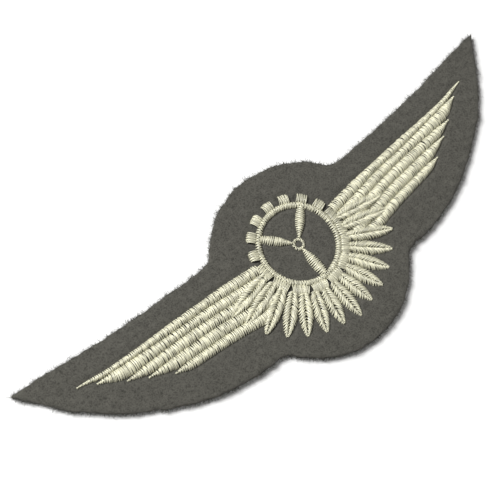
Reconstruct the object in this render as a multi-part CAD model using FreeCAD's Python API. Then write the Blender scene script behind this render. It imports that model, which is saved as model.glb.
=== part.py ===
import FreeCAD, Part
import math
import os

from FreeCAD import Vector

# Embroidered aircrew badge: a die-cut felt blank on a backing fleece, with padded satin stitching on
# its face. The stitched emblem is a gear ring with a three-bladed propeller in it, a feathered wing
# on each side and a fan of leaves below.
#
# Frame: X along the span, Y towards the top of the gear, Z out of the embroidered face. The origin is
# the centre of the propeller hub, on the rear face of the backing.

# ---- Driving dimensions, millimetres and degrees ------------------------------------------------

gear_bore_radius = 8.1          # the emblem is laid out in multiples of this radius, its unit
fleece_thickness = 0.3
felt_thickness = 1.2
bobbin_depth = 0.12             # the bobbin thread is pulled this far into the fleece
bobbin_width_share = 0.35       # of a column's width, as the lower thread shows on a back
thread_gap = 0.06               # clear space kept on each side of a satin column

feather_height = 0.70
leaf_height = 0.60
crossing_lift = 0.30            # the leaves sewn over the inner ends of the wings stand this much higher
rim_height = 0.50
tooth_height = 0.55
blade_height = 0.80
hub_height = 0.30
steepest_dome = 0.45            # a dome is never higher than this share of its width

# Blank outline, in units, right half
disc_centre_y = -0.50
disc_radius = 2.66
wing_top_edge = [(2.35, 1.06), (3.6, 1.09), (5.0, 1.18), (7.0, 1.42), (7.98, 1.54)]
wing_tip = (8.04, 1.50)
wing_lower_edge = [
    (8.02, 1.42), (7.4, 0.55), (6.5, -0.38), (5.5, -1.07), (4.5, -1.58), (3.5, -1.87), (2.4, -1.97),
]
wing_root_x = 1.0               # inside the disc
corner_radius = 0.35            # where a wing meets the disc

# Edges between the feathers of the right wing, in units, from the top edge down. The last point of
# each lower edge is the tip of the feather above it.
feather_root_x = 1.42
feather_edges = [
    [(1.42, 0.30), (2.3, 0.39), (3.0, 0.43), (4.0, 0.49), (5.0, 0.53), (6.0, 0.60), (6.7, 0.70)],
    [(1.42, 0.02), (2.3, 0.12), (3.0, 0.21), (4.0, 0.27), (5.0, 0.37), (6.0, 0.48), (6.7, 0.68)],
    [(1.42, -0.26), (2.3, -0.14), (3.0, -0.05), (4.0, 0.04), (5.0, 0.08), (5.7, 0.15), (6.26, 0.45)],
    [(1.42, -0.54), (2.3, -0.42), (3.0, -0.32), (4.0, -0.24), (5.0, -0.17), (5.3, -0.10), (5.66, 0.05)],
    [(1.42, -0.83), (2.3, -0.70), (3.0, -0.62), (4.0, -0.53), (4.6, -0.45), (5.2, -0.22)],
    [(1.42, -1.12), (2.3, -0.98), (3.0, -0.87), (4.0, -0.76), (4.3, -0.70), (4.64, -0.55)],
]
feather_taper_length = 0.9      # over which a feather's upper edge bends down to its tip
feather_stations = 11

# Gear, in units
rim_inner_radius = 0.985
rim_outer_radius = 1.13
tooth_count = 16
tooth_inner_radius = 1.15
tooth_outer_radius = 1.37
free_tooth_width = 0.27
leaf_side_tooth_width = 0.37    # the teeth from the wings round the lower half are wider
leaf_side_drift = 7.5           # degrees that the lowest tooth has slipped round, sewn by eye
tooth_corner_radius = 0.06
tooth_edge_round = 0.025

# Propeller, in units; directions in degrees from +X
blade_directions = [45.0, 135.0, 270.0]
blade_half_widths = [0.11, 0.11, 0.14]
blade_inner_radius = 0.22
blade_outer_radius = 0.965
hub_inner_radius = 0.10
hub_outer_radius = 0.165

# Wreath, in units; leaf 8 points straight down, the others fan out on both sides of it
leaf_step = 12.25               # degrees between neighbouring leaves
leaf_tip_radii = [2.43, 2.36, 2.41, 2.445, 2.50, 2.585, 2.63, 2.68]
leaf_base_radius = 1.40
leaf_half_width = 0.175
vein_width = 0.02
outermost_tip_turn = 3.5        # degrees that the outermost leaf's tip leans back to the fan
free_leaf_pairs = 5             # further pairs are sewn over the wings

# ---- Derived values -----------------------------------------------------------------------------

unit = gear_bore_radius
felt_base = fleece_thickness
felt_top = fleece_thickness + felt_thickness
side_leaves = len(leaf_tip_radii) - 1
middle_leaf = side_leaves + 1
up = Vector(0, 0, 1)


def place(x, y, z=0.0):
    """A point given in units across the badge and in millimetres above its rear face."""
    return Vector(x * unit, y * unit, z)


def smooth_height(points, x):
    """Height at x of a smooth curve through points that run in order of x."""
    last = len(points) - 2
    index = 0
    while index < last and x > points[index + 1][0]:
        index += 1
    (x0, y0), (x1, y1) = points[index], points[index + 1]
    before = points[max(index - 1, 0)]
    after = points[min(index + 2, len(points) - 1)]
    slope0 = (y1 - before[1]) / (x1 - before[0])
    slope1 = (after[1] - y0) / (after[0] - x0)
    span = x1 - x0
    t = (x - x0) / span
    rise = (2 * t ** 3 - 3 * t ** 2 + 1) * y0 + (3 * t ** 2 - 2 * t ** 3) * y1
    bend = (t ** 3 - 2 * t ** 2 + t) * slope0 + (t ** 3 - t ** 2) * slope1
    return rise + bend * span


# A satin column is a list of stations along it. Each station is its centre on the felt, the
# direction across the column, half the column's width and the height of its crest, in millimetres.


def station(centre, across, half_width, height):
    """A station narrowed by the thread gap, and no taller than its width allows."""
    return centre, across, half_width - thread_gap, min(height, 2 * (half_width - thread_gap) * steepest_dome)


def satin_dome(stations, lift=0.0):
    """The padded body of a satin column: a low dome on the felt, lifted where it lies on other thread."""
    sections = []
    for centre, across, half_width, height in stations:
        foot = centre + up * felt_top
        left = foot - across * half_width
        right = foot + across * half_width
        corners = [right + up * lift, right, left, left + up * lift]
        if lift == 0:
            corners = [right, left]
        arch = Part.Arc(corners[-1], foot + up * (lift + height), corners[0]).toShape()
        edges = [Part.LineSegment(a, b).toShape() for a, b in zip(corners, corners[1:])]
        sections.append(Part.Wire([arch] + edges))
    return Part.makeLoft(sections, True, False)


def column_prism(stations, width_share, low, high, margin=0.0):
    """A flat-topped body under or round a column, with a share of its width plus a margin."""
    left = []
    right = []
    for centre, across, half_width, height in stations:
        reach = across * (half_width * width_share + margin)
        left.append(centre - reach + up * low)
        right.append(centre + reach + up * low)
    corners = left + right[::-1]
    face = Part.Face(Part.makePolygon(corners + corners[:1]))
    return face.extrude(up * (high - low))


def turned_section(inner_radius, outer_radius, height):
    """A ring-shaped satin dome about the hub's axis; the radii are in units."""
    middle = (inner_radius + outer_radius) / 2
    inner = place(inner_radius, 0, felt_top)
    outer = place(outer_radius, 0, felt_top)
    arch = Part.Arc(inner, place(middle, 0, felt_top + height), outer).toShape()
    base = Part.LineSegment(outer, inner).toShape()
    return Part.Face(Part.Wire([arch, base])).revolve(Vector(0, 0, 0), up, 360)


# ---- Felt blank and backing fleece --------------------------------------------------------------


def curve_through(points):
    curve = Part.BSplineCurve()
    curve.interpolate([place(x, y) for x, y in points])
    return curve.toShape()


def wing_face():
    """The right wing of the blank, in the plane of the rear face."""
    root_top = place(wing_root_x, wing_top_edge[0][1])
    root_low = place(wing_root_x, wing_lower_edge[-1][1])
    top_end = place(*wing_top_edge[-1])
    lower_start = place(*wing_lower_edge[0])
    edges = [
        Part.LineSegment(root_top, place(*wing_top_edge[0])).toShape(),
        curve_through(wing_top_edge),
        Part.Arc(top_end, place(*wing_tip), lower_start).toShape(),
        curve_through(wing_lower_edge),
        Part.LineSegment(place(*wing_lower_edge[-1]), root_low).toShape(),
        Part.LineSegment(root_low, root_top).toShape(),
    ]
    return Part.Face(Part.Wire(edges))


def blank_layer(low, high):
    """A layer of the blank between two heights, with the four inside corners rounded."""
    thickness = high - low
    centre = place(0, disc_centre_y)
    disc = Part.makeCylinder(disc_radius * unit, thickness, centre)
    right_wing = wing_face().extrude(up * thickness)
    left_wing = right_wing.mirror(Vector(0, 0, 0), Vector(1, 0, 0))
    layer = disc.fuse([right_wing, left_wing]).removeSplitter().Solids[0]
    corners = []
    for edge in layer.Edges:
        start = edge.Vertexes[0].Point
        on_disc = abs(math.hypot(start.x, start.y - centre.y) - disc_radius * unit) < 1e-3
        if on_disc and edge.BoundBox.ZLength > thickness / 2 and edge.BoundBox.XLength < 1e-3:
            corners.append(edge)
    layer = layer.makeFillet(corner_radius * unit, corners)
    layer.translate(up * low)
    return layer.Solids[0]


# ---- Satin columns ------------------------------------------------------------------------------


def feather_stations_of(side, number, start_x):
    """Stations of one feather from start_x, in units, out to its tip."""
    upper_edge = feather_edges[number - 1]
    lower_edge = feather_edges[number]
    tip_x, tip_y = lower_edge[-1]
    stations = []
    for index in range(feather_stations):
        # The stations lie closer together towards the tip, where the feather narrows.
        share = math.sin(index / (feather_stations - 1) * math.pi / 2)
        x = start_x + (tip_x - start_x) * share * 0.995
        spread = min((tip_x - x) / feather_taper_length, 1.0)
        full = 1 - (1 - spread) ** 2
        top = tip_y + (smooth_height(upper_edge, x) - tip_y) * full
        low = smooth_height(lower_edge, x)
        half_width = max((top - low) / 2 * unit, 2.2 * thread_gap)
        centre = place(side * x, (top + low) / 2)
        stations.append(station(centre, Vector(0, side, 0), half_width, feather_height))
    return stations


def blade_stations(direction, widest):
    """Stations of a spindle-shaped propeller blade."""
    along = Vector(math.cos(math.radians(direction)), math.sin(math.radians(direction)), 0)
    across = up.cross(along)
    stations = []
    for index in range(9):
        share = index / 8
        radius = blade_inner_radius + (blade_outer_radius - blade_inner_radius) * share
        half_width = widest * math.sin(math.pi * (0.07 + 0.84 * share)) ** 0.85
        stations.append(station(along * (radius * unit), across, half_width * unit, blade_height))
    return stations


def leaf_directions(index):
    """Directions from the hub of a leaf's base and tip; index counts from the middle leaf."""
    turn = index * leaf_step
    lean = 0.0
    if abs(index) == side_leaves:
        lean = math.copysign(outermost_tip_turn, index)
    return math.radians(turn - 90), math.radians(turn - 90 - lean)


def leaf_lobes(index):
    """Stations of the two lobes of a leaf, one on each side of its vein."""
    base_direction, tip_direction = leaf_directions(index)
    base = place(math.cos(base_direction), math.sin(base_direction)) * leaf_base_radius
    tip = place(math.cos(tip_direction), math.sin(tip_direction)) * leaf_tip_radii[abs(index)]
    along = (tip - base).normalize()
    length = (tip - base).Length
    lobes = []
    for side in (1, -1):
        across = up.cross(along) * side
        stations = []
        for position in range(9):
            share = position / 8 * 0.97
            edge = leaf_half_width * math.sin(math.pi * (0.12 + 0.88 * share)) ** 0.75
            inner = vein_width / 2
            centre = tip + along * (length * (share - 1)) + across * ((edge + inner) / 2 * unit)
            half_width = (edge - inner) / 2 * unit + thread_gap / 2
            stations.append(station(centre, across, half_width, leaf_height))
        lobes.append(stations)
    return lobes


def tooth_layout(number):
    """Direction from the hub, in degrees, and width, in units, of a tooth; the first is near +X."""
    pitch = 360.0 / tooth_count
    direction = (number - 1) * pitch
    free_start = pitch
    free_end = 180 - pitch
    if free_start <= direction <= free_end:
        return direction, free_tooth_width
    turn = (direction - free_end) % 360 / (360 - free_end + free_start)
    return direction + leaf_side_drift * math.sin(math.pi * turn) ** 2, leaf_side_tooth_width


def gear_tooth(number):
    """A satin block with rounded outer corners and a softened top edge."""
    direction, width = tooth_layout(number)
    size = Vector((tooth_outer_radius - tooth_inner_radius) * unit, width * unit, tooth_height)
    corner = Vector(tooth_inner_radius * unit, -size.y / 2, felt_top)
    block = Part.makeBox(size.x, size.y, size.z, corner)
    outer_x = corner.x + size.x
    outer_corners = [edge for edge in block.Edges if edge.BoundBox.XMin > outer_x - 1e-6
                     and edge.BoundBox.ZLength > tooth_height / 2]
    block = block.makeFillet(tooth_corner_radius * unit, outer_corners)
    top_edges = [edge for edge in block.Edges if edge.BoundBox.ZMin > felt_top + tooth_height - 1e-6]
    block = block.makeFillet(tooth_edge_round * unit, top_edges)
    block.rotate(Vector(0, 0, 0), up, direction)
    return block.Solids[0]


def largest_solid(shape):
    return max(shape.Solids, key=lambda solid: solid.Volume)


# ---- Assembly -----------------------------------------------------------------------------------

nodes = {}
bobbin = {"left_wing": [], "right_wing": [], "gear": [], "propeller": [], "wreath": []}


def bobbin_track(stations):
    return column_prism(stations, bobbin_width_share, 0.0, bobbin_depth)


leaf_footprints = []
for leaf_index in range(-side_leaves, side_leaves + 1):
    lobes = leaf_lobes(leaf_index)
    lift = crossing_lift if abs(leaf_index) > free_leaf_pairs else 0.0
    nodes[f"wreath_leaf_{leaf_index + middle_leaf:02d}"] = [satin_dome(lobe, lift) for lobe in lobes]
    for lobe in lobes:
        bobbin["wreath"].append(bobbin_track(lobe))
        leaf_footprints.append(column_prism(lobe, 1.0, felt_base, felt_top + 2, margin=1.5 * thread_gap))

# A feather of the wing runs in under the leaves; only the part outside them is free-standing.
wing_cutter = leaf_footprints[0].fuse(leaf_footprints[1:])
covered_x = leaf_tip_radii[-1] + 2 * thread_gap / unit
for side, wing in ((-1, "left_wing"), (1, "right_wing")):
    for number in range(1, len(feather_edges)):
        feather = satin_dome(feather_stations_of(side, number, feather_root_x)).cut(wing_cutter)
        nodes[f"{wing.split('_')[0]}_feather_{number}"] = [largest_solid(feather)]
        track_start = feather_root_x if number == 1 else covered_x
        bobbin[wing].append(bobbin_track(feather_stations_of(side, number, track_start)))

nodes["gear_rim"] = [turned_section(rim_inner_radius, rim_outer_radius, rim_height)]
track_half = (rim_outer_radius - rim_inner_radius) / 2 * bobbin_width_share * unit
track_middle = (rim_outer_radius + rim_inner_radius) / 2 * unit
outer_disc = Part.makeCylinder(track_middle + track_half, bobbin_depth)
bobbin["gear"].append(outer_disc.cut(Part.makeCylinder(track_middle - track_half, bobbin_depth)))
for number in range(1, tooth_count + 1):
    nodes[f"gear_tooth_{number:02d}"] = [gear_tooth(number)]

for number, (direction, widest) in enumerate(zip(blade_directions, blade_half_widths), start=1):
    stations = blade_stations(direction, widest)
    nodes[f"propeller_blade_{number}"] = [satin_dome(stations)]
    bobbin["propeller"].append(bobbin_track(stations))
nodes["propeller_hub"] = [turned_section(hub_inner_radius, hub_outer_radius, hub_height)]

for group, tracks in bobbin.items():
    nodes[f"bobbin_thread_{group}"] = tracks

fleece = blank_layer(0.0, felt_base)
for tracks in bobbin.values():
    fleece = fleece.cut(Part.makeCompound(tracks))
nodes["backing_fleece"] = [largest_solid(fleece)]
nodes["felt_ground"] = [blank_layer(felt_base, felt_top)]

os.makedirs("parts", exist_ok=True)
for name, solids in nodes.items():
    shape = solids[0] if len(solids) == 1 else Part.makeCompound(solids)
    shape.exportStep(f"parts/{name}.step")

blank = nodes["felt_ground"][0]
print(len(nodes), "nodes; blank", round(blank.BoundBox.XLength, 2), "by", round(blank.BoundBox.YLength, 2),
      "mm, flat area", round(blank.Volume / felt_thickness, 1), "mm2")
for name, solids in nodes.items():
    for solid in solids:
        if not solid.isValid() or solid.Volume <= 0:
            print("check", name, solid.isValid(), solid.Volume)
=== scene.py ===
import math

import bmesh
import bpy
import numpy as np
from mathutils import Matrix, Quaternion, Vector, geometry
from mathutils.bvhtree import BVHTree


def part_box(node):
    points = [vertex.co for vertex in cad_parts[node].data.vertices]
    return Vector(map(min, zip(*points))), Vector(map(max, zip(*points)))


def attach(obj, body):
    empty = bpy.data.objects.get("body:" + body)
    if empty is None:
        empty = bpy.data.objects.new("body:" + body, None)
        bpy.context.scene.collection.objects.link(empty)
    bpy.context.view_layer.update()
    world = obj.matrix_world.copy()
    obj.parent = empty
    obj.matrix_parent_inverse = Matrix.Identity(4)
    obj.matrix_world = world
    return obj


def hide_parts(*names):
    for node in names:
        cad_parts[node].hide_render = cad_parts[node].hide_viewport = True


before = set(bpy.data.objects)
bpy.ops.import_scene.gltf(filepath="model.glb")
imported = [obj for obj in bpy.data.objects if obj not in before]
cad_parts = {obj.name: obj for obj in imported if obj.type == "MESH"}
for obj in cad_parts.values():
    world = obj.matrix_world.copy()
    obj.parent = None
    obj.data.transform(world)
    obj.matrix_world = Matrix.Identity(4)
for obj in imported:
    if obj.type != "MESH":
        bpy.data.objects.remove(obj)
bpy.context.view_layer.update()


# ---- Table top, light and camera -----------------------------------------------------------------
# The badge lies face up on a plain white table under one large soft lamp. The camera looks down on
# it steeply and is rolled, so that the span rises from the lower left to the upper right.

mm = 0.001
felt_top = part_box("felt_ground")[1].z

table_half = 1.5
table_drop = 0.05 * mm                          # the table lies this far below the fleece
table_mesh = bpy.data.meshes.new("table_top")
table_corners = [(-table_half, -table_half), (table_half, -table_half),
                 (table_half, table_half), (-table_half, table_half)]
table_mesh.from_pydata([(x, y, -table_drop) for x, y in table_corners], [], [(0, 1, 2, 3)])
table = bpy.data.objects.new("table_top", table_mesh)
bpy.context.scene.collection.objects.link(table)
table_paint = bpy.data.materials.new("white_table")
table_paint.use_nodes = True
table_shader = table_paint.node_tree.nodes["Principled BSDF"]
table_shader.inputs["Base Color"].default_value = (0.92, 0.92, 0.915, 1)
table_shader.inputs["Roughness"].default_value = 0.85
table_mesh.materials.append(table_paint)

studio = bpy.data.worlds.new("studio")
studio.use_nodes = True
studio.node_tree.nodes["Background"].inputs["Color"].default_value = (1.0, 0.995, 0.98, 1)
studio.node_tree.nodes["Background"].inputs["Strength"].default_value = 0.29
bpy.context.scene.world = studio
bpy.context.scene.view_settings.view_transform = "Standard"

lamp = bpy.data.lights.new("soft_lamp", "AREA")
lamp.shape = "DISK"
lamp.size = 0.48
lamp.energy = 13.2
lamp_stand = bpy.data.objects.new("soft_lamp", lamp)
lamp_stand.location = (-0.35, 0.56, 0.72)
lamp_stand.rotation_euler = lamp_stand.location.to_track_quat("Z", "Y").to_euler()
bpy.context.scene.collection.objects.link(lamp_stand)

aim = Vector((-9.0 * mm, 5.4 * mm, felt_top))
camera_bearing = math.radians(199.4)
camera_height = math.radians(69.2)
camera_roll = math.radians(30.6)
camera_distance = 252.3 * mm
to_camera = Vector((math.cos(camera_height) * math.cos(camera_bearing),
                    math.cos(camera_height) * math.sin(camera_bearing),
                    math.sin(camera_height)))
camera_data = bpy.data.cameras.new("camera")
camera_data.lens = 88.6
camera_data.sensor_width = 36.0
camera_data.clip_start = 0.01
camera = bpy.data.objects.new("camera", camera_data)
camera.location = aim + to_camera * camera_distance
camera.rotation_mode = "QUATERNION"
level_view = to_camera.to_track_quat("Z", "Y")
camera.rotation_quaternion = level_view @ Quaternion((0, 0, 1), camera_roll)
bpy.context.scene.collection.objects.link(camera)
bpy.context.scene.camera = camera


# ---- Backing fleece ------------------------------------------------------------------------------
# A thin off-white non-woven stabiliser, bonded under the felt before it is embroidered and die-cut
# with it. It ends just inside the felt's edge, and its rear face is drawn in along the bobbin thread.

blank_spacing = 0.6 * mm
fleece_low, fleece_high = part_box("backing_fleece")


def signed_area(points):
    """The area inside a closed outline, positive if it runs counter-clockwise."""
    x, y = points.T
    return np.sum(x * np.roll(y, -1) - y * np.roll(x, -1)) / 2


def blank_outline(spacing):
    """Evenly spaced points round the die-cut blank, counter-clockwise, from the felt's upper face."""
    work = bmesh.new()
    work.from_mesh(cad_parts["felt_ground"].data)
    bmesh.ops.remove_doubles(work, verts=work.verts, dist=1e-6)
    upper = {face for face in work.faces if face.normal.z > 0.9}
    rim = [edge for edge in work.edges if sum(face in upper for face in edge.link_faces) == 1]
    neighbours = {}
    for edge in rim:
        a, b = edge.verts
        neighbours.setdefault(a, []).append(b)
        neighbours.setdefault(b, []).append(a)
    first = rim[0].verts[0]
    loop = [first, neighbours[first][0]]
    while loop[-1] is not first:
        here = neighbours[loop[-1]]
        loop.append(here[0] if here[1] is loop[-2] else here[1])
    points = np.array([vert.co[:2] for vert in loop])
    work.free()
    steps = np.hypot(*np.diff(points, axis=0).T)
    run = np.concatenate([[0], np.cumsum(steps)])
    marks = np.linspace(0, run[-1], round(run[-1] / spacing), endpoint=False)
    even = np.column_stack([np.interp(marks, run, points[:, axis]) for axis in (0, 1)])
    return even if signed_area(even) > 0 else even[::-1]


outline = blank_outline(blank_spacing)
ahead = np.roll(outline, -1, axis=0) - np.roll(outline, 1, axis=0)
ahead /= np.linalg.norm(ahead, axis=1)[:, None]
outline_outward = np.column_stack([ahead[:, 1], -ahead[:, 0]])
lower_trim = 0.42 * mm                          # the cut runs this much closer in along the lower edge
outline = outline - outline_outward * (lower_trim * np.clip(-2 * outline_outward[:, 1:], 0, 1))


def cloth_blank(name, edge_profile, top_height, bottom_height, ragged, seed):
    """A closed sheet cut to the blank's outline. edge_profile lists (outward, z) rings from top to
    bottom; the two height functions give the z of points on its faces."""
    chance = np.random.default_rng(seed)
    snips = chance.normal(size=len(outline))
    snips = snips + np.roll(snips, 1) + 0.5 * np.roll(snips, 2) + 0.5 * np.roll(snips, -1)
    snips = snips / 1.6                         # about even in size again after the smoothing
    own_share = 0.45                            # how much of the raggedness each ring has of its own
    rings = []
    for outward, _ in edge_profile:
        shift = ragged * (snips + own_share * chance.normal(size=len(outline)))
        rings.append(outline + outline_outward * (outward + shift[:, None]))
    inner = rings[0]
    low, high = inner.min(axis=0), inner.max(axis=0)
    row_step = blank_spacing * math.sqrt(3) / 2
    clear_of_edge = 0.55 * blank_spacing
    grid = []
    for row, y in enumerate(np.arange(low[1], high[1], row_step)):
        start = low[0] + (row % 2) * blank_spacing / 2
        grid += [(x, y) for x in np.arange(start, high[0], blank_spacing)]
    grid = np.array(grid)
    nearest = np.array([np.min(np.hypot(*(inner - point).T)) for point in grid])
    grid = grid[nearest > clear_of_edge]
    count = len(inner)
    points = [Vector(point) for point in np.vstack([inner, grid])]
    border = [(i, (i + 1) % count) for i in range(count)]
    flat, _, triangles, origins, _, _ = geometry.delaunay_2d_cdt(points, border, [], 1, 1e-8)
    place_of = {source: i for i, sources in enumerate(origins) for source in sources}
    used = sorted({i for triangle in triangles for i in triangle})

    verts = []
    faces = []
    upper = {}
    lower = {}
    for i in used:
        upper[i] = len(verts)
        verts.append((flat[i].x, flat[i].y, top_height(flat[i])))
    last = rings[-1]
    for i in used:
        lower[i] = len(verts)
        verts.append((flat[i].x, flat[i].y, bottom_height(flat[i])))
    for triangle in triangles:
        a, b, c = triangle
        faces.append((upper[a], upper[b], upper[c]))
        faces.append((lower[c], lower[b], lower[a]))
    loops = [[upper[place_of[i]] for i in range(count)]]
    for ring, (_, z) in zip(rings[1:-1], edge_profile[1:-1]):
        loops.append(list(range(len(verts), len(verts) + count)))
        verts += [(x, y, z) for x, y in ring]
    loops.append([lower[place_of[i]] for i in range(count)])
    for over, under in zip(loops, loops[1:]):
        for i in range(count):
            j = (i + 1) % count
            faces.append((over[i], under[i], under[j], over[j]))
    mesh = bpy.data.meshes.new(name)
    mesh.from_pydata(verts, [], faces)
    mesh.shade_smooth()
    piece = bpy.data.objects.new(name, mesh)
    bpy.context.scene.collection.objects.link(piece)
    return piece


def tree_over(nodes_named, base_z):
    """A search tree of the flat feet of CAD nodes, at one height."""
    verts = []
    faces = []
    for node in nodes_named:
        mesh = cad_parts[node].data
        start = len(verts)
        verts += [(v.co.x, v.co.y, base_z) for v in mesh.vertices]
        faces += [[start + i for i in polygon.vertices] for polygon in mesh.polygons]
    return BVHTree.FromPolygons(verts, faces)


def draw_in(feet, base_z, depth, reach):
    """How far cloth is drawn in at a point, from full depth under stitches to none beyond reach."""
    def amount(point):
        _, _, _, distance = feet.find_nearest(Vector((point[0], point[1], base_z)))
        share = max(0.0, 1 - distance / reach)
        return depth * share * share * (3 - 2 * share)
    return amount


bobbin_nodes = [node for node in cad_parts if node.startswith("bobbin_thread")]
fleece_draw = draw_in(tree_over(bobbin_nodes, 0.0), 0.0, depth=0.14 * mm, reach=0.7 * mm)
fleece_gap = 0.01 * mm                          # keeps its upper face off the felt's lower one
fleece_inset = 0.55 * mm


def fleece_bottom(point):
    return fleece_low.z + fleece_draw(point)


def fleece_top(point):
    return fleece_high.z - fleece_gap


fleece_profile = [(-0.60 * mm, fleece_high.z - fleece_gap), (-fleece_inset, fleece_high.z - 0.05 * mm),
                  (-fleece_inset, 0.08 * mm), (-0.60 * mm, 0.0)]
fleece = cloth_blank("fleece_sheet", fleece_profile, fleece_top, fleece_bottom, ragged=0.02 * mm,
                     seed=3)


def add_node(tree, kind, feeds=None, **settings):
    """A new node with its settings, and its inputs set to values or joined to other nodes' outputs."""
    made = tree.nodes.new(kind)
    for name, value in settings.items():
        setattr(made, name, value)
    for key, value in (feeds or {}).items():
        if isinstance(key, int):
            socket = made.inputs[key]
        else:
            socket = next(s for s in made.inputs if s.enabled and s.name == key)
        if isinstance(value, bpy.types.NodeSocket):
            tree.links.new(value, socket)
        else:
            socket.default_value = value
    return made


def calc(tree, operation, first, second=0.0):
    """The output of a Math node."""
    return add_node(tree, "ShaderNodeMath", {0: first, 1: second}, operation=operation).outputs[0]


def declare(tree, inputs, outputs):
    """Gives a node group its named sockets; both are {name: kind}, such as Float or Geometry."""
    for direction, sockets in (("INPUT", inputs), ("OUTPUT", outputs)):
        for name, kind in sockets.items():
            tree.interface.new_socket(name, in_out=direction, socket_type="NodeSocket" + kind)


def fibre_mat_group():
    """Shader group: a tangle of fine fibres. Strands is 0 to 1, Clouds a slow mottle round 0.5."""
    group = bpy.data.node_groups.new("fibre_mat", "ShaderNodeTree")
    declare(group, {"Place": "Vector", "Fibres per Metre": "Float", "Clouds per Metre": "Float"},
            {"Strands": "Float", "Clouds": "Float"})
    given = group.nodes.new("NodeGroupInput")
    result = group.nodes.new("NodeGroupOutput")
    wander = add_node(group, "ShaderNodeTexNoise", {"Vector": given.outputs["Place"],
                      "Scale": calc(group, "MULTIPLY", given.outputs["Fibres per Metre"], 0.35),
                      "Detail": 2.0})
    offset = calc(group, "DIVIDE", 1.6, given.outputs["Fibres per Metre"])
    push = add_node(group, "ShaderNodeVectorMath", {0: wander.outputs["Color"], "Scale": offset},
                    operation="SCALE")
    bent = add_node(group, "ShaderNodeVectorMath", {0: given.outputs["Place"], 1: push.outputs[0]},
                    operation="ADD")
    ridges = add_node(group, "ShaderNodeTexNoise", {"Vector": bent.outputs[0],
                      "Scale": given.outputs["Fibres per Metre"], "Detail": 4.0, "Roughness": 0.6,
                      "Offset": 0.85, "Gain": 2.5}, noise_type="RIDGED_MULTIFRACTAL")
    strands = add_node(group, "ShaderNodeMapRange", {"Value": ridges.outputs["Fac"], "From Min": 0.3,
                       "From Max": 2.6})
    clouds = add_node(group, "ShaderNodeTexNoise", {"Vector": given.outputs["Place"],
                      "Scale": given.outputs["Clouds per Metre"], "Detail": 5.0, "Roughness": 0.65})
    group.links.new(strands.outputs["Result"], result.inputs["Strands"])
    group.links.new(clouds.outputs["Fac"], result.inputs["Clouds"])
    return group


fibre_mat = fibre_mat_group()


def cloth_material(name, dark, light, fibres, clouds, cloud_share, bump_depth, sheen):
    """Matt pressed-fibre cloth: strands and clouds between two shades, with the strands raised."""
    material = bpy.data.materials.new(name)
    material.use_nodes = True
    tree = material.node_tree
    shader = tree.nodes["Principled BSDF"]
    place = add_node(tree, "ShaderNodeTexCoord").outputs["Object"]
    mat = add_node(tree, "ShaderNodeGroup", node_tree=fibre_mat)
    tree.links.new(place, mat.inputs["Place"])
    mat.inputs["Fibres per Metre"].default_value = fibres
    mat.inputs["Clouds per Metre"].default_value = clouds
    fine = calc(tree, "MULTIPLY", mat.outputs["Strands"], 1 - cloud_share)
    slow = calc(tree, "MULTIPLY", mat.outputs["Clouds"], cloud_share)
    blend = add_node(tree, "ShaderNodeMix", {"Factor": calc(tree, "ADD", fine, slow)}, data_type="RGBA")
    first_colour, second_colour, mixed_colour = blend.inputs[6], blend.inputs[7], blend.outputs[2]
    first_colour.default_value = (*dark, 1)
    second_colour.default_value = (*light, 1)
    tree.links.new(mixed_colour, shader.inputs["Base Color"])
    bump = add_node(tree, "ShaderNodeBump", {"Height": mat.outputs["Strands"], "Distance": bump_depth,
                    "Strength": 0.6})
    tree.links.new(bump.outputs["Normal"], shader.inputs["Normal"])
    shader.inputs["Roughness"].default_value = 0.95
    shader.inputs["Specular IOR Level"].default_value = 0.15
    shader.inputs["Sheen Weight"].default_value = sheen
    shader.inputs["Sheen Roughness"].default_value = 0.5
    return material


fleece_cloth = cloth_material("fleece_cloth", dark=(0.52, 0.52, 0.49), light=(0.80, 0.80, 0.77),
                              fibres=2600.0, clouds=400.0, cloud_share=0.4,
                              bump_depth=0.05 * mm, sheen=0.1)
fleece.data.materials.append(fleece_cloth)
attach(fleece, "root")
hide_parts("backing_fleece")


# ---- Felt ground ---------------------------------------------------------------------------------
# Mid-grey wool felt, 1.2 mm thick, die-cut after it is embroidered. The stitches draw its face in,
# and the cut edge is slightly rounded and ragged.

felt_low, felt_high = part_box("felt_ground")
satin_nodes = [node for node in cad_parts
               if node not in bobbin_nodes and node not in ("felt_ground", "backing_fleece")]
felt_draw = draw_in(tree_over(satin_nodes, felt_top), felt_top, depth=0.30 * mm, reach=0.9 * mm)
felt_swell = 0.05 * mm
swell_x, swell_y, swell_skew = 210, 260, 70     # radians per metre of the face's slow swell


def felt_face(point):
    slow = math.sin(point[0] * swell_x + 1.3) * math.sin(point[1] * swell_y + point[0] * swell_skew)
    return felt_high.z - felt_draw(point) + felt_swell * slow


def felt_back(point):
    return felt_low.z


felt_profile = [(-0.32 * mm, felt_high.z), (-0.16 * mm, felt_high.z - 0.10 * mm),
                (-0.09 * mm, felt_high.z - 0.32 * mm), (-0.22 * mm, felt_low.z + 0.55 * mm),
                (-0.40 * mm, felt_low.z + 0.22 * mm), (-0.52 * mm, felt_low.z)]
felt = cloth_blank("felt_blank", felt_profile, felt_face, felt_back, ragged=0.085 * mm, seed=5)
felt_cloth = cloth_material("wool_felt", dark=(0.020, 0.0195, 0.0165), light=(0.182, 0.176, 0.151),
                            fibres=2400.0, clouds=800.0, cloud_share=0.45,
                            bump_depth=0.10 * mm, sheen=0.12)
felt.data.materials.append(felt_cloth)


# ---- Wool fibres on the felt ---------------------------------------------------------------------
# Loose ends of wool stand out of the cut edge, long ones and a short down, and a nap lies on the
# face. They are the felt's own hairs in curled tufts, 0.06 mm thick at the edge and half that on top.

fibre_points = 6
fibre_sink = 0.12                               # how much of its own length a fibre is rooted in the felt
least_height = 0.03 * mm                        # fibres that would sag lower lie on the table

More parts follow.
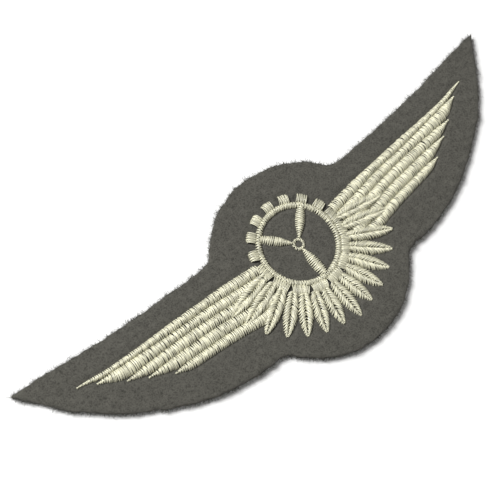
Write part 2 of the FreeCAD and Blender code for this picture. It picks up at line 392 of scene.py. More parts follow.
def fibre_tree():
    """Geometry nodes: curled fibres scattered over the faces of a mesh that face a given way."""
    tree = bpy.data.node_groups.new("loose_fibres", "GeometryNodeTree")
    measures = ("Fibres per Square Metre", "Lowest Facing", "Highest Facing", "Length", "Radius",
                "Upright", "Curl")
    declare(tree, {"Cloth": "Geometry", **dict.fromkeys(measures, "Float"), "Seed": "Int",
                   "Wool": "Material"}, {"Fibres": "Geometry"})
    given = tree.nodes.new("NodeGroupInput").outputs
    facing = add_node(tree, "GeometryNodeInputNormal").outputs[0]
    facing_up = add_node(tree, "ShaderNodeSeparateXYZ", {0: facing}).outputs["Z"]
    over = calc(tree, "GREATER_THAN", facing_up, given["Lowest Facing"])
    under = calc(tree, "LESS_THAN", facing_up, given["Highest Facing"])
    patchy = add_node(tree, "ShaderNodeTexNoise", {"Scale": 700.0, "Detail": 1.0}).outputs[0]
    tufts = add_node(tree, "ShaderNodeMapRange", {"Value": patchy, "From Min": 0.35, "From Max": 0.65,
                     "To Min": 0.3, "To Max": 1.7}).outputs[0]
    roots = add_node(tree, "GeometryNodeDistributePointsOnFaces",
                     {"Mesh": given["Cloth"], "Selection": calc(tree, "MULTIPLY", over, under),
                      "Density": calc(tree, "MULTIPLY", given["Fibres per Square Metre"], tufts),
                      "Seed": given["Seed"]})
    stray = add_node(tree, "FunctionNodeRandomValue", {"Seed": given["Seed"]}, data_type="FLOAT_VECTOR")
    stray.inputs[0].default_value = (-1, -1, -1)
    stray.inputs[1].default_value = (1, 1, 1)
    lift = add_node(tree, "ShaderNodeVectorMath", {0: roots.outputs["Normal"],
                    "Scale": given["Upright"]}, operation="SCALE")
    aim_at = add_node(tree, "ShaderNodeVectorMath", {0: lift.outputs[0], 1: stray.outputs[0]},
                      operation="ADD")
    turn = add_node(tree, "FunctionNodeAlignRotationToVector", {"Vector": aim_at.outputs[0]}, axis="Z")
    size = add_node(tree, "FunctionNodeRandomValue", {"Min": 0.45, "Max": 1.0, "Seed": given["Seed"]})
    grown = calc(tree, "MULTIPLY", calc(tree, "POWER", size.outputs[1], 2.5), given["Length"])
    fibre_steps = fibre_points - 1
    line = add_node(tree, "GeometryNodeMeshLine", {"Count": fibre_points,
                    "Start Location": (0, 0, -fibre_sink),
                    "Offset": (0, 0, (1 + fibre_sink) / fibre_steps)})
    along = calc(tree, "DIVIDE", add_node(tree, "GeometryNodeInputIndex").outputs[0], float(fibre_steps))
    marked = add_node(tree, "GeometryNodeStoreNamedAttribute", {"Geometry": line.outputs[0],
                      "Name": "out", "Value": along}, data_type="FLOAT", domain="POINT")
    planted = add_node(tree, "GeometryNodeInstanceOnPoints", {"Points": roots.outputs["Points"],
                       "Instance": marked.outputs[0], "Rotation": turn.outputs[0], "Scale": grown})
    real = add_node(tree, "GeometryNodeRealizeInstances", {"Geometry": planted.outputs[0]})
    swirl = add_node(tree, "ShaderNodeTexNoise", {"Scale": 1700.0, "Detail": 1.5})
    centred = add_node(tree, "ShaderNodeVectorMath", {0: swirl.outputs["Color"], 1: (0.5, 0.5, 0.5)},
                       operation="SUBTRACT")
    out = add_node(tree, "GeometryNodeInputNamedAttribute", {"Name": "out"}, data_type="FLOAT")
    sway = calc(tree, "MULTIPLY", out.outputs[0], given["Curl"])
    bend = add_node(tree, "ShaderNodeVectorMath", {0: centred.outputs[0], "Scale": sway},
                    operation="SCALE")
    curled = add_node(tree, "GeometryNodeSetPosition", {"Geometry": real.outputs[0],
                      "Offset": bend.outputs[0]})
    spot = add_node(tree, "ShaderNodeSeparateXYZ",
                    {0: add_node(tree, "GeometryNodeInputPosition").outputs[0]}).outputs
    above = add_node(tree, "ShaderNodeCombineXYZ", {"X": spot["X"], "Y": spot["Y"],
                     "Z": calc(tree, "MAXIMUM", spot["Z"], least_height)}).outputs[0]
    rested = add_node(tree, "GeometryNodeSetPosition", {"Geometry": curled.outputs[0],
                      "Position": above})
    strand = add_node(tree, "GeometryNodeMeshToCurve", {"Mesh": rested.outputs[0]})
    ring = add_node(tree, "GeometryNodeCurvePrimitiveCircle", {"Resolution": 3,
                    "Radius": given["Radius"]})
    taper = calc(tree, "SUBTRACT", 1.0, calc(tree, "MULTIPLY", out.outputs[0], 0.65))
    tube = add_node(tree, "GeometryNodeCurveToMesh", {"Curve": strand.outputs[0],
                    "Profile Curve": ring.outputs[0], "Scale": taper, "Fill Caps": True})
    smooth = add_node(tree, "GeometryNodeSetShadeSmooth", {"Geometry": tube.outputs[0]})
    final = add_node(tree, "GeometryNodeRealizeInstances", {"Geometry": smooth.outputs[0]})
    dressed = add_node(tree, "GeometryNodeSetMaterial", {"Geometry": final.outputs[0],
                       "Material": given["Wool"]})
    tree.links.new(dressed.outputs[0], tree.nodes.new("NodeGroupOutput").inputs[0])
    return tree


def grow(name, source, tree, values):
    """A plain mesh piece made by a geometry node tree from a source mesh, with its inputs by name."""
    holder = bpy.data.objects.new(name + "_source", source)
    bpy.context.scene.collection.objects.link(holder)
    modifier = holder.modifiers.new("nodes", "NODES")
    modifier.node_group = tree
    for item in tree.interface.items_tree:
        if item.name in values:
            modifier[item.identifier] = values[item.name]
    graph = bpy.context.evaluated_depsgraph_get()
    finished = bpy.data.meshes.new_from_object(holder.evaluated_get(graph),
                                               preserve_all_data_layers=True, depsgraph=graph)
    finished.name = name
    bpy.data.objects.remove(holder)
    piece = bpy.data.objects.new(name, finished)
    bpy.context.scene.collection.objects.link(piece)
    return piece


loose_fibres = fibre_tree()
wool_fibre = cloth_material("wool_fibre", dark=(0.052, 0.051, 0.044), light=(0.13, 0.126, 0.109),
                            fibres=900.0, clouds=500.0, cloud_share=0.7,
                            bump_depth=0.01 * mm, sheen=0.0)
edge_wool = grow("felt_edge_fibres", felt.data.copy(), loose_fibres, {
    "Fibres per Square Metre": 14.0e6, "Lowest Facing": -0.6, "Highest Facing": 0.7,
    "Length": 1.25 * mm, "Radius": 0.032 * mm, "Upright": 0.8, "Curl": 2.2 * mm, "Seed": 11,
    "Wool": wool_fibre})
edge_down = grow("felt_edge_down", felt.data.copy(), loose_fibres, {
    "Fibres per Square Metre": 14.0e6, "Lowest Facing": -0.5, "Highest Facing": 0.9,
    "Length": 0.6 * mm, "Radius": 0.030 * mm, "Upright": 1.0, "Curl": 1.6 * mm, "Seed": 13,
    "Wool": wool_fibre})
nap_wool = grow("felt_nap_fibres", felt.data.copy(), loose_fibres, {
    "Fibres per Square Metre": 1.3e6, "Lowest Facing": 0.8, "Highest Facing": 1.1,
    "Length": 1.3 * mm, "Radius": 0.016 * mm, "Upright": 0.22, "Curl": 2.2 * mm, "Seed": 12,
    "Wool": wool_fibre})

for piece in (felt, edge_wool, edge_down, nap_wool):
    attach(piece, "root")
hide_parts("felt_ground")


# ---- Wing feathers -------------------------------------------------------------------------------
# Five padded satin feathers on each wing, in pale silver rayon thread. Each stitch crosses its
# feather from edge to edge, and the feathers narrow to points that step back down the wing.

rim_outer = 1.13
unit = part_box("gear_rim")[1].x / rim_outer      # the emblem's unit: the inner radius of the gear rim
thread_radius = 0.11 * mm
thread_pitch = 0.225 * mm
foot_sink = 0.28 * mm                           # the ends of the stitches dive this far into the felt
feather_height = 0.72 * mm
steepest_dome = 0.45                            # most that a column rises, as a share of its width
stitch_points = 9
core_width_share = 0.88                         # the padding stays inside the ends of the stitches; painted shade: it is coloured dark for the shadow in the gaps between them
core_painted_shade = -1.6                               # and lies dark between them

feather_root = 1.42
feather_edges = [
    [(1.42, 0.30), (2.3, 0.39), (3.0, 0.43), (4.0, 0.49), (5.0, 0.53), (6.0, 0.60), (6.7, 0.70)],
    [(1.42, 0.02), (2.3, 0.12), (3.0, 0.21), (4.0, 0.27), (5.0, 0.37), (6.0, 0.48), (6.7, 0.68)],
    [(1.42, -0.26), (2.3, -0.14), (3.0, -0.05), (4.0, 0.04), (5.0, 0.08), (5.7, 0.15), (6.26, 0.45)],
    [(1.42, -0.54), (2.3, -0.42), (3.0, -0.32), (4.0, -0.24), (5.0, -0.17), (5.3, -0.10), (5.66, 0.05)],
    [(1.42, -0.83), (2.3, -0.70), (3.0, -0.62), (4.0, -0.53), (4.6, -0.45), (5.2, -0.22)],
    [(1.42, -1.12), (2.3, -0.98), (3.0, -0.87), (4.0, -0.76), (4.3, -0.70), (4.64, -0.55)],
]
feather_taper = 0.9                             # length over which a feather rounds off to its tip
feather_stations = 60
feather_tip_half_width = 0.12 * mm
feather_pitch = 0.22 * mm
top_feather_root = 1.33                         # the top feather runs up against the gear tooth
lowest_feather_root = 1.80                      # the last leaf below the wing covers the rest of it


def ply_twist_group():
    """Shader group: the helical furrows between the twisted plies of a thread, 0 in a furrow to 1."""
    group = bpy.data.node_groups.new("ply_twist", "ShaderNodeTree")
    declare(group, {"Turns per Metre": "Float"}, {"Ply": "Float"})
    given = group.nodes.new("NodeGroupInput")
    result = group.nodes.new("NodeGroupOutput")
    run = add_node(group, "ShaderNodeAttribute", attribute_name="thread_run").outputs["Fac"]
    turn = add_node(group, "ShaderNodeAttribute", attribute_name="thread_turn").outputs["Vector"]
    parts = add_node(group, "ShaderNodeSeparateXYZ", {0: turn})
    phase = calc(group, "MULTIPLY", calc(group, "MULTIPLY", run, given.outputs[0]), 2 * math.pi)
    across = calc(group, "MULTIPLY", parts.outputs["X"], calc(group, "COSINE", phase))
    round_it = calc(group, "MULTIPLY", parts.outputs["Y"], calc(group, "SINE", phase))
    wave = calc(group, "ADD", across, round_it)
    furrow = calc(group, "POWER", calc(group, "ABSOLUTE", wave), 0.6)
    group.links.new(furrow, result.inputs["Ply"])
    return group


ply_twist = ply_twist_group()


def thread_material(name, colour, roughness, turns):
    """Glossy filament thread, each stitch a little lighter or darker, with furrows between plies. The
    furrows, the padding and the teeth are darkened in colour as painted shade.
    """
    material = bpy.data.materials.new(name)
    material.use_nodes = True
    tree = material.node_tree
    shader = tree.nodes["Principled BSDF"]
    ply = add_node(tree, "ShaderNodeGroup", node_tree=ply_twist)
    ply.inputs["Turns per Metre"].default_value = turns
    shade = add_node(tree, "ShaderNodeAttribute", attribute_name="stitch_shade").outputs["Fac"]
    shade_spread, shade_floor = 0.42, 0.64
    ply_spread, ply_floor = 0.34, 0.76
    light = calc(tree, "ADD", calc(tree, "MULTIPLY", shade, shade_spread), shade_floor)
    # painted shade: the base colour is darker in the furrows between plies
    painted_furrow_shade = calc(tree, "ADD", calc(tree, "MULTIPLY", ply.outputs[0], ply_spread), ply_floor)
    # random stitch tone times the painted shade of the furrows, the padding and the teeth
    tone_and_painted_shade = calc(tree, "MULTIPLY", light, painted_furrow_shade)
    tint = add_node(tree, "ShaderNodeVectorMath", {0: colour, "Scale": tone_and_painted_shade}, operation="SCALE")
    tree.links.new(tint.outputs[0], shader.inputs["Base Color"])
    bump = add_node(tree, "ShaderNodeBump", {"Height": ply.outputs[0], "Distance": 0.04 * mm,
                    "Strength": 0.8})
    tree.links.new(bump.outputs["Normal"], shader.inputs["Normal"])
    shader.inputs["Roughness"].default_value = roughness
    shader.inputs["Specular IOR Level"].default_value = 0.75
    shader.inputs["Coat Weight"].default_value = 0.25
    shader.inputs["Coat Roughness"].default_value = 0.16
    return material


silver_thread = thread_material("silver_rayon_thread", (0.80, 0.78, 0.59), roughness=0.27, turns=1100.0)


def satin_tree():
    """Geometry nodes: satin stitches laid side by side across a spine, over a padded core. The
    spine's points carry half_width, crest, lean (radians that the stitches slant) and lift."""
    tree = bpy.data.node_groups.new("satin_stitches", "GeometryNodeTree")
    measures = ("Thread Pitch", "Thread Radius", "Foot Height", "Padding Share", "Zigzag Share",
                "Arch Power", "Unevenness", "Drift Share", "Shade Shift")
    declare(tree, {"Spine": "Geometry", **dict.fromkeys(measures, "Float"), "Seed": "Int",
                   "Thread": "Material"}, {"Stitches": "Geometry"})
    given = tree.nodes.new("NodeGroupInput").outputs
    up = (0.0, 0.0, 1.0)

    def carried(name, kind="FLOAT"):
        return add_node(tree, "GeometryNodeInputNamedAttribute", {"Name": name},
                        data_type=kind).outputs[0]

    def keep(geometry_socket, name, value, kind="FLOAT"):
        return add_node(tree, "GeometryNodeStoreNamedAttribute", {"Geometry": geometry_socket,
                        "Name": name, "Value": value}, data_type=kind, domain="POINT").outputs[0]

    def chance(low, high, seed_step):
        seed = calc(tree, "ADD", given["Seed"], float(seed_step))
        return add_node(tree, "FunctionNodeRandomValue", {"Min": low, "Max": high,
                        "Seed": seed}).outputs[1]

    spine = add_node(tree, "GeometryNodeMeshToCurve", {"Mesh": given["Spine"]}).outputs[0]
    rows = add_node(tree, "GeometryNodeCurveToPoints", {"Curve": spine,
                    "Length": given["Thread Pitch"]}, mode="LENGTH")
    uneven = given["Unevenness"]
    rise = calc(tree, "MULTIPLY", carried("crest"), calc(tree, "ADD", 1.0,
                calc(tree, "MULTIPLY", chance(-0.6, 1.0, 1), uneven)))
    points = keep(rows.outputs["Points"], "rise", rise)
    drift = calc(tree, "MULTIPLY", calc(tree, "MULTIPLY", chance(-1.0, 1.0, 5), given["Drift Share"]),
                 given["Thread Pitch"])
    drifted = add_node(tree, "ShaderNodeVectorMath", {0: rows.outputs["Tangent"], "Scale": drift},
                       operation="SCALE").outputs[0]
    points = add_node(tree, "GeometryNodeSetPosition", {"Geometry": points,
                      "Offset": drifted}).outputs[0]
    # each stitch's tone at random, moved by the Shade Shift; for the teeth that shift is painted shade
    points = keep(points, "stitch_shade", calc(tree, "ADD", chance(0.0, 1.0, 2), given["Shade Shift"]))
    across = add_node(tree, "ShaderNodeVectorMath", {0: up, 1: rows.outputs["Tangent"]},
                      operation="CROSS_PRODUCT").outputs[0]
    squared = add_node(tree, "FunctionNodeAxesToRotation", {"Primary Axis": up,
                       "Secondary Axis": across}, primary_axis="Z", secondary_axis="X").outputs[0]
    odd = calc(tree, "MODULO", add_node(tree, "GeometryNodeInputIndex").outputs[0], 2.0)
    side = calc(tree, "SUBTRACT", calc(tree, "MULTIPLY", odd, 2.0), 1.0)
    half_step = calc(tree, "DIVIDE", calc(tree, "MULTIPLY", given["Thread Pitch"], 0.5),
                     carried("half_width"))
    steepest_zigzag = 0.45
    half_step = calc(tree, "MINIMUM", half_step, steepest_zigzag)
    zigzag = calc(tree, "MULTIPLY", calc(tree, "MULTIPLY", half_step, side), given["Zigzag Share"])
    stray = calc(tree, "MULTIPLY", chance(-1.0, 1.0, 3), uneven)
    slant = calc(tree, "ADD", calc(tree, "ADD", carried("lean"), zigzag), stray)
    turn = add_node(tree, "FunctionNodeAxisAngleToRotation", {"Axis": up, "Angle": slant}).outputs[0]
    facing = add_node(tree, "FunctionNodeRotateRotation", {"Rotation": squared, "Rotate By": turn},
                      rotation_space="LOCAL").outputs[0]
    reach = calc(tree, "DIVIDE", carried("half_width"), calc(tree, "COSINE", carried("lean")))
    reach = calc(tree, "MULTIPLY", reach, calc(tree, "ADD", 1.0,
                 calc(tree, "MULTIPLY", chance(-1.0, 1.0, 4), uneven)))
    scale = add_node(tree, "ShaderNodeCombineXYZ", {"X": reach, "Y": 1.0, "Z": 1.0}).outputs[0]

    stitch = add_node(tree, "GeometryNodeMeshLine", {"Count": stitch_points,
                      "Start Location": (-1, 0, 0),
                      "Offset": (2 / (stitch_points - 1), 0, 0)}).outputs[0]
    here = add_node(tree, "GeometryNodeInputPosition").outputs[0]
    along = add_node(tree, "ShaderNodeSeparateXYZ", {0: here}).outputs["X"]
    angle = calc(tree, "MULTIPLY", along, math.pi / 2)
    stitch = keep(stitch, "arch", calc(tree, "POWER", calc(tree, "COSINE", angle), given["Arch Power"]))
    eased = add_node(tree, "ShaderNodeCombineXYZ", {"X": calc(tree, "SINE", angle)}).outputs[0]
    stitch = add_node(tree, "GeometryNodeSetPosition", {"Geometry": stitch,
                      "Position": eased}).outputs[0]
    laid = add_node(tree, "GeometryNodeInstanceOnPoints", {"Points": points, "Instance": stitch,
                    "Rotation": facing, "Scale": scale}).outputs[0]
    laid = add_node(tree, "GeometryNodeRealizeInstances", {"Geometry": laid}).outputs[0]
    foot = calc(tree, "ADD", given["Foot Height"], carried("lift"))
    height = calc(tree, "ADD", foot, calc(tree, "MULTIPLY", carried("rise"), carried("arch")))
    arched = add_node(tree, "ShaderNodeCombineXYZ", {"Z": height}).outputs[0]
    laid = add_node(tree, "GeometryNodeSetPosition", {"Geometry": laid, "Offset": arched}).outputs[0]
    strand = add_node(tree, "GeometryNodeMeshToCurve", {"Mesh": laid}).outputs[0]
    strand = keep(strand, "thread_run", add_node(tree, "GeometryNodeSplineParameter").outputs["Length"])
    ring = add_node(tree, "GeometryNodeCurvePrimitiveCircle", {"Resolution": 6,
                    "Radius": given["Thread Radius"]}).outputs[0]
    unit_turn = add_node(tree, "ShaderNodeVectorMath", {0: here}, operation="NORMALIZE").outputs[0]
    ring = keep(ring, "thread_turn", unit_turn, "FLOAT_VECTOR")
    thread = add_node(tree, "GeometryNodeCurveToMesh", {"Curve": strand, "Profile Curve": ring,
                      "Scale": 1.0, "Fill Caps": True}).outputs[0]

    core_ring = add_node(tree, "GeometryNodeCurvePrimitiveCircle", {"Resolution": 12,
                         "Radius": 1.0}).outputs[0]
    core_ring = keep(core_ring, "core_turn", unit_turn, "FLOAT_VECTOR")
    core_spine = add_node(tree, "GeometryNodeResampleCurve", {"Curve": spine, "Length": 1.2 * mm},
                          mode="LENGTH").outputs[0]
    core_width = calc(tree, "MULTIPLY", carried("half_width"), core_width_share)
    core = add_node(tree, "GeometryNodeCurveToMesh", {"Curve": core_spine, "Profile Curve": core_ring,
                    "Scale": core_width, "Fill Caps": True}).outputs[0]
    spread = add_node(tree, "ShaderNodeSeparateXYZ", {0: here})
    core_turn = carried("core_turn", "FLOAT_VECTOR")
    core_up = add_node(tree, "ShaderNodeSeparateXYZ", {0: core_turn}).outputs["Y"]
    core_rise = calc(tree, "MULTIPLY", calc(tree, "MULTIPLY", carried("crest"), given["Padding Share"]),
                     calc(tree, "MAXIMUM", core_up, 0.0))
    core_height = calc(tree, "ADD", foot, core_rise)
    core_place = add_node(tree, "ShaderNodeCombineXYZ", {"X": spread.outputs["X"],
                          "Y": spread.outputs["Y"], "Z": core_height}).outputs[0]
    core = add_node(tree, "GeometryNodeSetPosition", {"Geometry": core,
                    "Position": core_place}).outputs[0]
    # painted shade: the padding gets a low stitch shade, so it reads as the shadow between the stitches
    core = keep(core, "stitch_shade", core_painted_shade)

    both = add_node(tree, "GeometryNodeJoinGeometry")
    tree.links.new(core, both.inputs[0])
    tree.links.new(thread, both.inputs[0])
    smooth = add_node(tree, "GeometryNodeSetShadeSmooth", {"Geometry": both.outputs[0]}).outputs[0]
    final = add_node(tree, "GeometryNodeRealizeInstances", {"Geometry": smooth}).outputs[0]
    dressed = add_node(tree, "GeometryNodeSetMaterial", {"Geometry": final,
                       "Material": given["Thread"]}).outputs[0]
    tree.links.new(dressed, tree.nodes.new("NodeGroupOutput").inputs[0])
    return tree


satin_stitches = satin_tree()


def spine_mesh(name, columns):
    """The spines of satin columns as one mesh of edges. A column is (stations, closed), and a station
    is (x, y, half_width, crest, lean, lift) in metres and radians."""
    verts = []
    edges = []
    rows = []
    for stations, closed in columns:
        start = len(verts)
        count = len(stations)
        verts += [(x, y, 0.0) for x, y, *_ in stations]
        rows += [station[2:] for station in stations]
        edges += [(start + i, start + i + 1) for i in range(count - 1)]
        if closed:
            edges.append((start + count - 1, start))
    mesh = bpy.data.meshes.new(name)
    mesh.from_pydata(verts, edges, [])
    for index, field in enumerate(("half_width", "crest", "lean", "lift")):
        layer = mesh.attributes.new(field, "FLOAT", "POINT")
        layer.data.foreach_set("value", [row[index] for row in rows])
    return mesh


def sew(name, node, columns, seed, pitch=thread_pitch, zigzag=0.8, power=1.2, uneven=0.08,
        drift=0.0, shade=0.0):
    """Sews the satin of one CAD node in the top thread."""
    piece = grow(name, spine_mesh(name + "_spine", columns), satin_stitches, {
        "Thread Pitch": pitch, "Thread Radius": thread_radius, "Foot Height": felt_top - foot_sink,
        "Padding Share": 0.74, "Zigzag Share": zigzag, "Arch Power": power, "Unevenness": uneven,
        "Drift Share": drift, "Shade Shift": shade, "Seed": seed, "Thread": silver_thread})
    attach(piece, "root")
    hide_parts(node)
    return piece


def crest_of(height, half_width):
    """Rise of the thread's middle line from its sunken feet to a crest of the given height."""
    dome = min(height, 2 * half_width * steepest_dome)
    return dome + foot_sink - thread_radius


def edge_height(points, x):
    """Height at x of a smooth curve through points that run in order of x."""
    last = len(points) - 2
    index = 0
    while index < last and x > points[index + 1][0]:
        index += 1
    (x0, y0), (x1, y1) = points[index], points[index + 1]
    before = points[max(index - 1, 0)]
    after = points[min(index + 2, len(points) - 1)]
    slope0 = (y1 - before[1]) / (x1 - before[0])
    slope1 = (after[1] - y0) / (after[0] - x0)
    span = x1 - x0
    t = (x - x0) / span
    rise = (2 * t ** 3 - 3 * t ** 2 + 1) * y0 + (3 * t ** 2 - 2 * t ** 3) * y1
    bend = (t ** 3 - 2 * t ** 2 + t) * slope0 + (t ** 3 - t ** 2) * slope1
    return rise + bend * span


def feather_column(side, number):
    """The stations of one feather, from its root by the gear out to its tip."""
    upper_edge = feather_edges[number - 1]
    lower_edge = feather_edges[number]
    tip_x, tip_y = lower_edge[-1]
    stations = []
    root_x = {1: top_feather_root, 5: lowest_feather_root}.get(number, feather_root)
    for x in np.linspace(root_x, tip_x, feather_stations):
        spread = min((tip_x - x) / feather_taper, 1.0)
        full = 1 - (1 - spread) ** 2
        top = tip_y + (edge_height(upper_edge, x) - tip_y) * full
        low = edge_height(lower_edge, x)
        half_width = max((top - low) / 2 * unit, feather_tip_half_width)
        crest = crest_of(feather_height, half_width)
        stations.append((side * x * unit, (top + low) / 2 * unit, half_width, crest, 0.0, 0.0))
    return stations, False


for side, wing in ((-1, "left"), (1, "right")):
    for number in range(1, 6):
        feather = f"{wing}_feather_{number}"
        sew(feather + "_satin", feather, [feather_column(side, number)], seed=20 * number + side,
            pitch=feather_pitch, zigzag=0.65, power=1.35, uneven=0.1, drift=0.36, shade=0.05)


# ---- Gear rim and teeth --------------------------------------------------------------------------
# The rim is one narrow satin ring whose stitches point to the hub. The sixteen teeth are short satin
# blocks sewn against it; those below the wings are wider and have slipped round a little.

rim_middle = 1.057
rim_half_width = 0.072
rim_height = 0.55 * mm
rim_pitch = 0.28 * mm
tooth_count = 16
tooth_inner, tooth_outer = 1.09, 1.36
free_tooth_width = 0.25
leaf_side_tooth_width = 0.41
leaf_side_drift = 7.5                           # degrees that the middle one of them has slipped
tooth_corner_loss = 0.15
tooth_height = 0.58 * mm
tooth_pitch = 0.245 * mm
painted_shade_until = 100.0                            # painted shade: the right-hand teeth up to this bearing are coloured darker, for their weaker sheen


def ring_column(middle, half_width, crest, steps):
    """The stations of a closed ring round the hub."""
    stations = []
    for step in range(steps):
        angle = 2 * math.pi * step / steps
        stations.append((middle * unit * math.cos(angle), middle * unit * math.sin(angle),
                         half_width, crest, 0.0, 0.0))
    return stations, True


def heading(degrees):
    """The level direction at an angle from +X."""
    return Vector((math.cos(math.radians(degrees)), math.sin(math.radians(degrees))))


rim_column = ring_column(rim_middle, rim_half_width * unit, crest_of(rim_height, rim_half_width * unit),
                         steps=96)
sew("gear_rim_satin", "gear_rim", [rim_column], seed=201, pitch=rim_pitch, zigzag=0.5, power=0.9,
    uneven=0.13)


def tooth_layout(number):
    """Direction from the hub, in degrees, and width of a tooth; the first is near +X."""
    pitch = 360.0 / tooth_count
    direction = (number - 1) * pitch
    free_end = 180 - pitch
    if pitch <= direction <= free_end:
        return direction, free_tooth_width
    turn = (direction - free_end) % 360 / (180 + 2 * pitch)
    return direction + leaf_side_drift * math.sin(math.pi * turn) ** 2, leaf_side_tooth_width


for number in range(1, tooth_count + 1):
    direction, width = tooth_layout(number)
    along = heading(direction)
    across = Vector((along.y, -along.x))
    stations = []
    for share in np.linspace(-0.5, 0.5, 7):
        rounded = 1 - tooth_corner_loss * (abs(share) * 2) ** 3
        half_width = (tooth_outer - tooth_inner) / 2 * rounded * unit
        centre = along * ((tooth_inner + tooth_outer) / 2 * unit) + across * (share * width * unit)
        stations.append((centre.x, centre.y, half_width, crest_of(tooth_height, half_width), 0.0, 0.0))
    tooth = f"gear_tooth_{number:02d}"
    # painted shade: all teeth are coloured a little darker than the feathers, the right-hand ones more
    sew(tooth + "_satin", tooth, [(stations, False)], seed=210 + number, pitch=tooth_pitch, zigzag=0.3,
        power=0.6, shade=-0.35 if direction < painted_shade_until else -0.05)


# ---- Propeller -----------------------------------------------------------------------------------
# Three spindle-shaped satin blades, at forty-five degrees to each side and straight down, and a hub
# that is one small ring of close stitches with the felt showing inside it.

blade_directions = (45.0, 135.0, 270.0)
blade_half_widths = (0.12, 0.12, 0.14)
blade_inner, blade_outer = 0.19, 1.0
blade_height = 0.80 * mm
hub_middle = 0.1325
hub_half_width = 0.25 * mm
hub_crest = 0.30 * mm
hub_pitch = 0.33 * mm

for number, (direction, widest) in enumerate(zip(blade_directions, blade_half_widths), start=1):
    along = heading(direction)
    stations = []
    for share in np.linspace(0.0, 1.0, 30):
        centre = along * ((blade_inner + (blade_outer - blade_inner) * share) * unit)
        half_width = widest * math.sin(math.pi * (0.05 + 0.72 * share)) ** 0.9 * unit
        stations.append((centre.x, centre.y, half_width, crest_of(blade_height, half_width), 0.0, 0.0))
    blade = f"propeller_blade_{number}"
    sew(blade + "_satin", blade, [(stations, False)], seed=240 + number)

hub_column = ring_column(hub_middle, hub_half_width, hub_crest, steps=24)
sew("propeller_hub_ring", "propeller_hub", [hub_column], seed=250, pitch=hub_pitch, zigzag=0.5,
    power=0.9, uneven=0.2)


# ---- Wreath of leaves ----------------------------------------------------------------------------
# Fifteen leaves fan out below the gear. Each has two satin lobes whose stitches slant from the vein
# towards the tip; the two outermost on each side are sewn over the inner ends of the wings.

leaf_step = 12.25
leaf_tip_radii = (2.43, 2.36, 2.41, 2.445, 2.50, 2.585, 2.63, 2.68)
leaf_base_radius = 1.31
leaf_end = 0.97                                 # share of the way to the tip where the lobes stop
leaf_tip_half_width = 0.10 * mm
leaf_half_width = 0.178
vein_width = 0.006
leaf_height = 0.60 * mm
stitch_slant = math.radians(43)
outermost_tip_turn = 3.5                        # degrees that the outermost leaves bend back down
side_leaves = len(leaf_tip_radii) - 1
free_leaf_pairs = 5
crossing_lift = 0.40 * mm
touching_lift = 0.14 * mm
leaf_pitch = 0.295 * mm


def leaf_columns(index):
    """The two lobes of a leaf; index counts from the middle leaf."""
    turn = index * leaf_step - 90
    lean_back = math.copysign(outermost_tip_turn, index) if abs(index) == side_leaves else 0.0
    base = heading(turn) * (leaf_base_radius * unit)
    tip = heading(turn - lean_back) * (leaf_tip_radii[abs(index)] * unit)
    along = (tip - base).normalized()
    left = Vector((-along.y, along.x))
    lift = crossing_lift if abs(index) > free_leaf_pairs else 0.0
    if abs(index) == free_leaf_pairs:
        lift = touching_lift
    lobes = []
    for side in (1, -1):
        stations = []
        for share in np.linspace(0.0, leaf_end, 40):
            edge = leaf_half_width * math.sin(math.pi * (0.16 + 0.84 * share)) ** 0.75
            inner = vein_width / 2
            half_width = max((edge - inner) / 2 * unit, leaf_tip_half_width)
            centre = base.lerp(tip, share) + left * (side * (edge + inner) / 2 * unit)
            stations.append((centre.x, centre.y, half_width, crest_of(leaf_height, half_width),
                             -side * stitch_slant, lift))
        lobes.append((stations, False))
    return lobes


for index in range(-side_leaves, side_leaves + 1):
    leaf = f"wreath_leaf_{index + side_leaves + 1:02d}"
    sew(leaf + "_satin", leaf, leaf_columns(index), seed=300 + index,
        pitch=leaf_pitch, zigzag=0.35, power=1.05, uneven=0.13)


# ---- Bobbin thread on the back -------------------------------------------------------------------
# Fine white lower thread that locks every satin column through the felt and the fleece. It shows as
# a narrow track of short stitches down the middle of each column, pulled into the fleece.

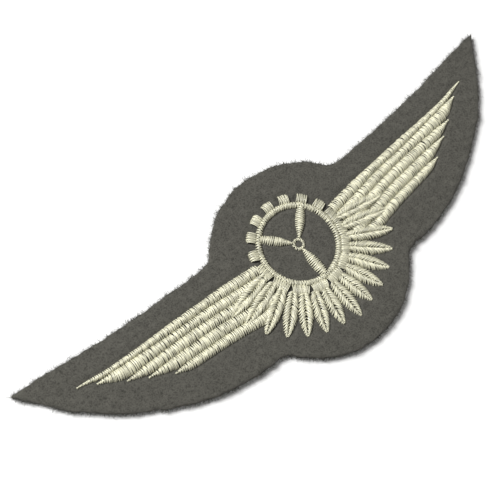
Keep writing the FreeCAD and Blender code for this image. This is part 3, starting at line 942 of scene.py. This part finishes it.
white_bobbin = thread_material("white_bobbin_thread", (0.82, 0.82, 0.80), roughness=0.6, turns=1500.0)
bobbin_radius = 0.10 * mm
bobbin_share = 0.38
bobbin_dip = 0.06 * mm
bobbin_pitch = 0.40 * mm
wing_track_start = 2.7                          # nearer in, the leaves are sewn through the wing


def bobbin_columns(columns):
    """The tracks under satin columns, narrower and hanging down instead of arching up."""
    tracks = []
    for stations, closed in columns:
        narrow = [(x, y, half_width * bobbin_share, -bobbin_dip, 0.0, 0.0)
                  for x, y, half_width, *_ in stations]
        tracks.append((narrow, closed))
    return tracks


wing_tracks = {}
for side, wing in ((-1, "left_wing"), (1, "right_wing")):
    wing_tracks[wing] = []
    for number in range(1, 6):
        stations, closed = feather_column(side, number)
        clear = [station for station in stations if abs(station[0]) > wing_track_start * unit]
        wing_tracks[wing].append((stations if number == 1 else clear, closed))
blade_tracks = []
for direction, widest in zip(blade_directions, blade_half_widths):
    radii = (blade_inner + 0.05, 0.6, blade_outer - 0.03)
    marks = [heading(direction) * (radius * unit) for radius in radii]
    widths = (0.4 * widest, widest, 0.4 * widest)
    stations = [(mark.x, mark.y, width * unit, 0.0, 0.0, 0.0) for mark, width in zip(marks, widths)]
    blade_tracks.append((stations, False))
leaf_tracks = []
for index in range(-side_leaves, side_leaves + 1):
    leaf_tracks += leaf_columns(index)

tracks_of = {"left_wing": wing_tracks["left_wing"], "right_wing": wing_tracks["right_wing"],
             "gear": [rim_column], "propeller": blade_tracks, "wreath": leaf_tracks}
for seed, (group, columns) in enumerate(tracks_of.items(), start=400):
    name = f"bobbin_{group}_tracks"
    piece = grow(name, spine_mesh(name + "_spine", bobbin_columns(columns)), satin_stitches, {
        "Thread Pitch": bobbin_pitch, "Thread Radius": bobbin_radius,
        "Foot Height": bobbin_dip + bobbin_radius, "Padding Share": 0.0, "Zigzag Share": 0.8,
        "Arch Power": 1.0, "Unevenness": 0.06, "Drift Share": 0.0, "Shade Shift": 0.0,
        "Seed": seed, "Thread": white_bobbin})
    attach(piece, "root")
    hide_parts(f"bobbin_thread_{group}")
